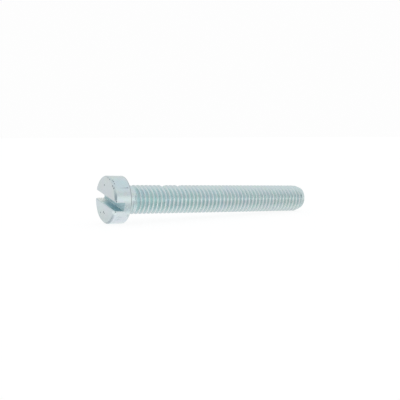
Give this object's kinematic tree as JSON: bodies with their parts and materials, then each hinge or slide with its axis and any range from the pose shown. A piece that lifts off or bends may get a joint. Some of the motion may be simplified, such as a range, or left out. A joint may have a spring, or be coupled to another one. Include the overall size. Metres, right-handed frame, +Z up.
{
  "type": "cheese head screw",
  "caption": "Slotted cheese head machine screw in bright zinc-plated steel, threaded along its whole shank, lying on its side.",
  "frame": {"origin": "centre of the bounding box's base, on the surface that the screw lies on", "axes": "+X along the screw from head to tip, +Z up; the screw's own axis falls about 2.4 degrees towards the tip, because the head is wider than the shank"},
  "size_m": [0.065, 0.0126, 0.0128],
  "materials": {
    "zinc_plate": "bright zinc plating with a clear blue passivation, satin"
  },
  "bodies": {
    "root": {"screw": "zinc_plate"}
  },
  "joints": []
}
